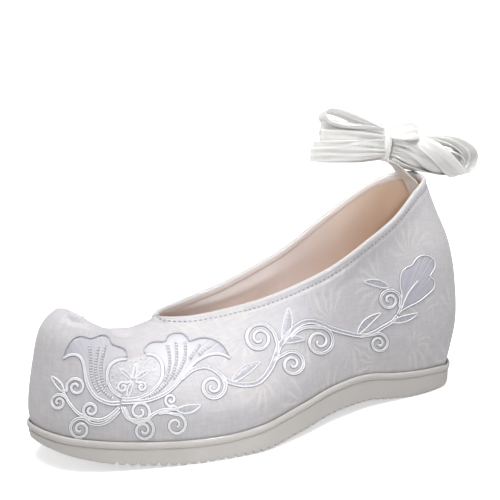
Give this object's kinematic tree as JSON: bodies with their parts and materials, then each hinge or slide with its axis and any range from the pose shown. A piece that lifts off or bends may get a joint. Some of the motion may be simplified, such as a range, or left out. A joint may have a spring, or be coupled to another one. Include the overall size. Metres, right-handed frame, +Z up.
{
  "type": "bridal flat",
  "caption": "Embroidered white brocade slip-on shoe with an upturned toe, a hidden wedge, a ribbed rubber cup sole and a ribbon bow at the heel.",
  "frame": {"origin": "on the floor, under the middle of the shoe with its bow", "axes": "+X from toe to heel, +Y to the inner side of the foot, +Z up; the heel and forefoot treads stand on z = 0"},
  "size_m": [0.266, 0.091, 0.1531],
  "materials": {
    "sole_rubber": "matt moulded rubber",
    "lining": "smooth beige lining",
    "brocade": "satin brocade with raised embroidery",
    "binding": "satin bias binding",
    "ribbon": "satin ribbon"
  },
  "bodies": {
    "root": {"outsole": "sole_rubber", "insole": "lining", "upper": "brocade", "collar_binding": "binding", "ribbon_tail": "ribbon", "bow_knot": "ribbon", "bow_front_loops": "ribbon", "bow_rear_loops": "ribbon"}
  },
  "joints": []
}
